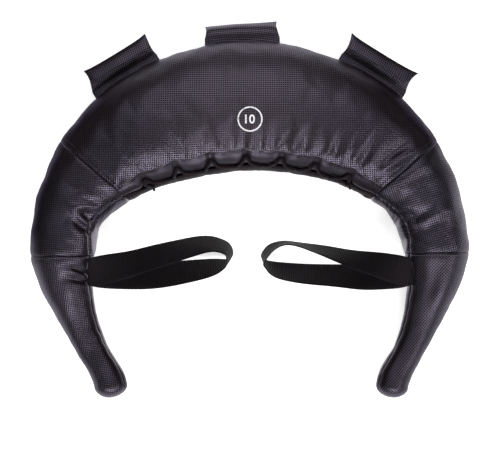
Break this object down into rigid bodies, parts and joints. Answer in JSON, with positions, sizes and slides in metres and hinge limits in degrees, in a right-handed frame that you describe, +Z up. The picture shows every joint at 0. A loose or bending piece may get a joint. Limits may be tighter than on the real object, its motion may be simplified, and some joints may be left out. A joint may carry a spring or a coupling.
{
  "type": "bulgarian bag",
  "caption": "Crescent-shaped weighted training bag of embossed artificial leather, with a laced closure, top grip loops, webbing straps and tapered arms.",
  "frame": {"origin": "on the floor under the middle of the outline, with the bag lying on its back", "axes": "+X across the bag towards its right arm as pictured, +Y from the arms' tips towards the crown, +Z up from the floor through the front"},
  "size_m": [0.5962, 0.5173, 0.1215],
  "materials": {
    "cover_leather": "embossed",
    "smooth_leather": "satin",
    "tongue_cloth": "matt",
    "lace_cord": "braided",
    "webbing": "woven",
    "wadding": "matt",
    "sand": "matt"
  },
  "bodies": {
    "bag": {"front_centre_panel": "cover_leather", "back_centre_panel": "cover_leather", "front_hem": "smooth_leather", "back_hem": "smooth_leather", "closure_tongue": "tongue_cloth", "lace": "lace_cord", "lace_knot_left": "lace_cord", "lace_knot_right": "lace_cord", "front_shoulder_panel_left": "cover_leather", "front_shoulder_panel_right": "cover_leather", "back_shoulder_panel_left": "cover_leather", "back_shoulder_panel_right": "cover_leather", "top_loop_tab_left": "cover_leather", "top_loop_tab_centre": "cover_leather", "top_loop_tab_right": "cover_leather", "front_wadding_centre": "wadding", "back_wadding_centre": "wadding", "front_wadding_left": "wadding", "front_wadding_right": "wadding", "back_wadding_left": "wadding", "back_wadding_right": "wadding", "sand_bag_centre": "sand", "sand_bag_left": "sand", "sand_bag_right": "sand"},
    "arm_left": {"front_arm_panel_left": "cover_leather", "back_arm_panel_left": "cover_leather", "arm_stuffing_left": "wadding", "strap_tail_left": "webbing"},
    "arm_right": {"front_arm_panel_right": "cover_leather", "back_arm_panel_right": "cover_leather", "arm_stuffing_right": "wadding", "strap_tail_right": "webbing"},
    "strap_left": {"strap_left": "webbing"},
    "strap_right": {"strap_right": "webbing"},
    "top_loop_left": {"top_loop_left": "cover_leather"},
    "top_loop_centre": {"top_loop_centre": "cover_leather"},
    "top_loop_right": {"top_loop_right": "cover_leather"}
  },
  "joints": [
    {"name": "arm_left_flex", "type": "hinge", "parent": "bag", "child": "arm_left", "pos_m": [-0.24436, 0.00096, 0.041], "axis": [0, 0, 1], "range_deg": [-8, 8], "stiffness_Nm_per_rad": 20, "deforming": ["front_shoulder_panel_left", "back_shoulder_panel_left", "front_wadding_left", "back_wadding_left", "sand_bag_left"]},
    {"name": "arm_right_flex", "type": "hinge", "parent": "bag", "child": "arm_right", "pos_m": [0.24436, 0.00096, 0.041], "axis": [0, 0, 1], "range_deg": [-8, 8], "stiffness_Nm_per_rad": 20, "deforming": ["front_shoulder_panel_right", "back_shoulder_panel_right", "front_wadding_right", "back_wadding_right", "sand_bag_right"]},
    {"name": "strap_left_swing", "type": "hinge", "parent": "arm_left", "child": "strap_left", "pos_m": [-0.2141, -0.08433, 0.05612], "axis": [0.0386, 0.9553, 0.2932], "range_deg": [-110, 45]},
    {"name": "strap_right_swing", "type": "hinge", "parent": "arm_right", "child": "strap_right", "pos_m": [0.2141, -0.08433, 0.05612], "axis": [-0.0386, 0.9553, 0.2932], "range_deg": [-45, 110]},
    {"name": "top_loop_left_fold", "type": "hinge", "parent": "bag", "child": "top_loop_left", "pos_m": [-0.17477, 0.18555, 0.05568], "axis": [0.8455, 0.5319, 0.0458], "range_deg": [-55, 75], "stiffness_Nm_per_rad": 0.2},
    {"name": "top_loop_centre_fold", "type": "hinge", "parent": "bag", "child": "top_loop_centre", "pos_m": [0, 0.23627, 0.059], "axis": [1, 0, 0], "range_deg": [-40, 100], "stiffness_Nm_per_rad": 0.2},
    {"name": "top_loop_right_fold", "type": "hinge", "parent": "bag", "child": "top_loop_right", "pos_m": [0.17477, 0.18555, 0.05568], "axis": [0.8455, -0.5319, -0.0458], "range_deg": [-55, 75], "stiffness_Nm_per_rad": 0.2}
  ]
}
